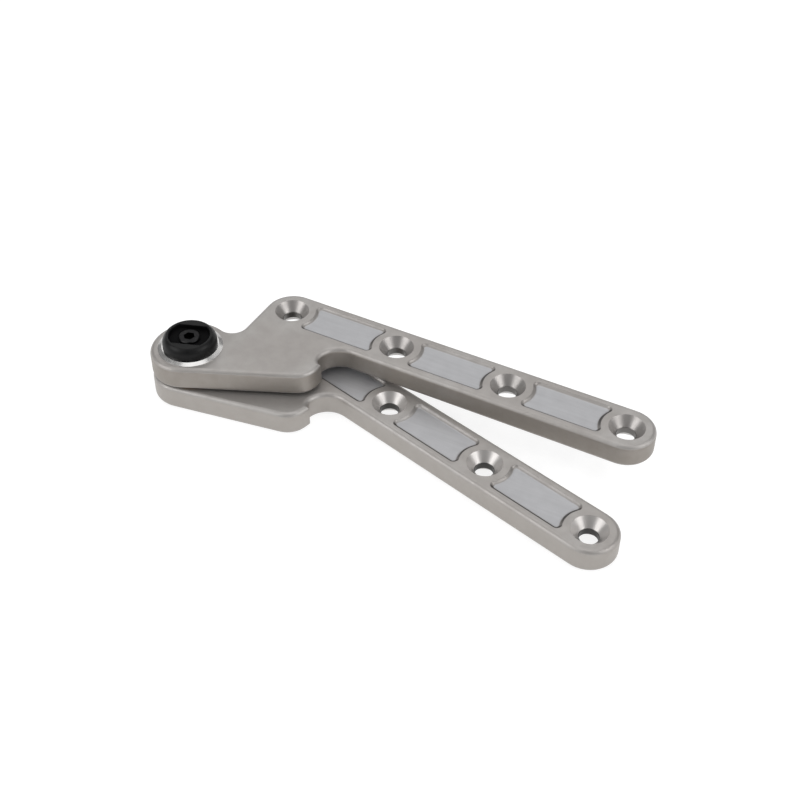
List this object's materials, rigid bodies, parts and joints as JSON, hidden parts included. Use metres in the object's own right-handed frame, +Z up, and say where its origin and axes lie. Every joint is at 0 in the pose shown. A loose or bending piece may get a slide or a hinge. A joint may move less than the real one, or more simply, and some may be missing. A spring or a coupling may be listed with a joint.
{
  "type": "offset door pivot",
  "caption": "Offset top pivot for a door: two cranked screw-on leaves turning on a retractable pin, with a black cap over the pin's adjusting screw.",
  "frame": {"origin": "on the pivot axis, level with the underside of the lower (door) leaf", "axes": "+Z up along the pivot axis, +X along the upper (frame) leaf's strap towards its tip, +Y from the pivot axis towards the line of screw holes"},
  "size_m": [0.1572, 0.0523, 0.0214],
  "materials": {
    "leaf_metal": "cast, tumbled to a warm satin nickel",
    "collar_steel": "turned and polished",
    "black_acetal": "moulded, semi-gloss black",
    "pin_steel": "hardened and ground",
    "key_steel": "bright drawn",
    "black_screw": "black oxide steel",
    "ring_steel": "phosphated spring steel",
    "bronze": "sintered bronze"
  },
  "bodies": {
    "frame_leaf": {"frame_leaf": "leaf_metal", "pin_housing": "collar_steel", "cap": "black_acetal", "pin_key": "key_steel"},
    "adjusting_screw": {"adjusting_screw": "black_screw", "retaining_ring": "ring_steel"},
    "pivot_pin": {"pivot_pin": "pin_steel"},
    "door_leaf": {"door_leaf": "leaf_metal", "door_bush": "bronze", "thrust_washer": "bronze"}
  },
  "joints": [
    {"name": "leaf_swing", "type": "hinge", "parent": "frame_leaf", "child": "door_leaf", "pos_m": [0, 0, 0], "axis": [0, 0, -1], "range_deg": [-14.8, 165.2]},
    {"name": "screw_turn", "type": "hinge", "parent": "frame_leaf", "child": "adjusting_screw", "pos_m": [0, 0, 0.02], "axis": [0, 0, -1], "range_deg": [0, 1940]},
    {"name": "pin_lift", "type": "slide", "parent": "frame_leaf", "child": "pivot_pin", "axis": [0, 0, 1], "range_m": [0, 0.0057]}
  ],
  "couplings": [
    {"joint": "screw_turn", "follows": "pin_lift", "rad_per_m": 5938.7}
  ]
}
